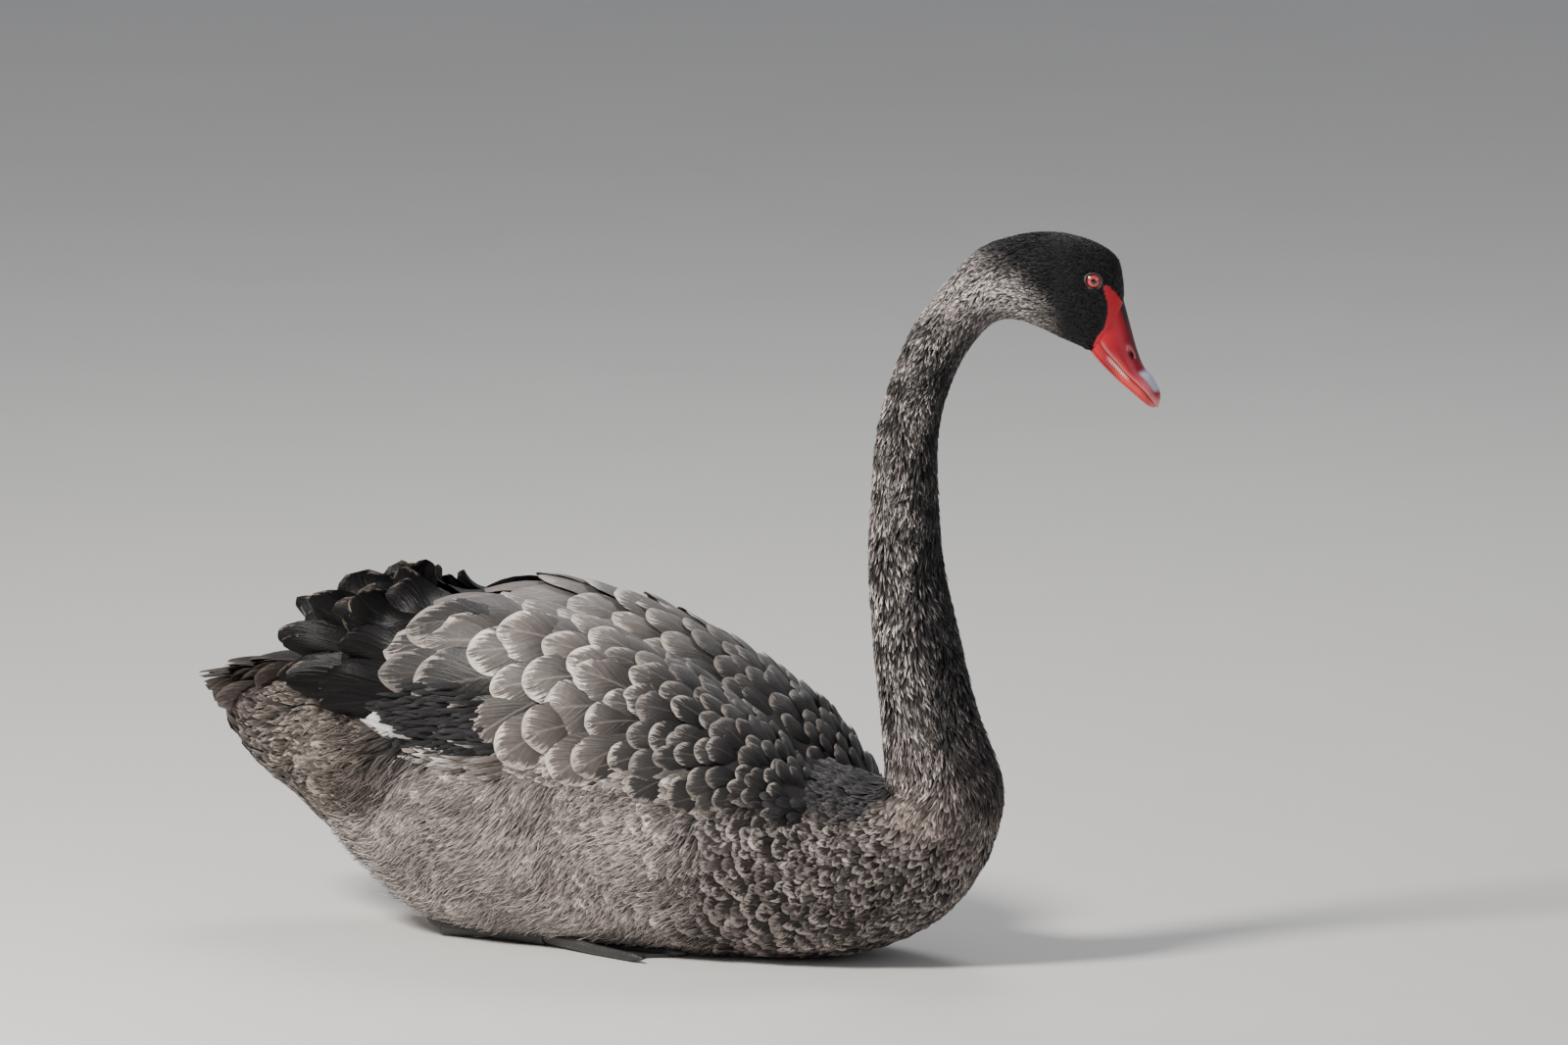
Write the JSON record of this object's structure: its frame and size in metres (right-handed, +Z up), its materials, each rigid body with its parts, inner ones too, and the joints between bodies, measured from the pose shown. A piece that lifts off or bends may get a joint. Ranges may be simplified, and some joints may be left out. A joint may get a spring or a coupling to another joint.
{
  "type": "black swan, still life-size model",
  "caption": "Life-size black swan resting on its belly with feet tucked under, wings folded, long neck upright and red bill bowed.",
  "frame": {"origin": "on the floor, in the middle of the flat of the belly that the swan rests on", "axes": "+X the way the body faces, +Y the bird's left, +Z up; the head is turned 27 degrees to the bird's left"},
  "size_m": [0.676, 0.2258, 0.4877],
  "materials": {
    "black_plumage": "short overlapping feathers, soft, brownish black",
    "wing_feathers": "scale-like grey-brown feathers with pale frayed edges",
    "white_feathers": "smooth white flight feathers",
    "red_bill": "smooth waxy crimson horn",
    "red_eye": "wet, clear, red iris with a black pupil",
    "black_skin": "scaly leathery black skin"
  },
  "bodies": {
    "root": {"torso": "black_plumage", "tail": "black_plumage", "neck_lower": "black_plumage", "neck_middle": "black_plumage", "neck_upper": "black_plumage", "head": "black_plumage", "bill_upper": "red_bill", "bill_lower": "red_bill", "eye_left": "red_eye", "eye_right": "red_eye", "wing_left": "wing_feathers", "wing_right": "wing_feathers", "primaries_left": "white_feathers", "primaries_right": "white_feathers", "leg_left": "black_skin", "leg_right": "black_skin"}
  },
  "joints": []
}
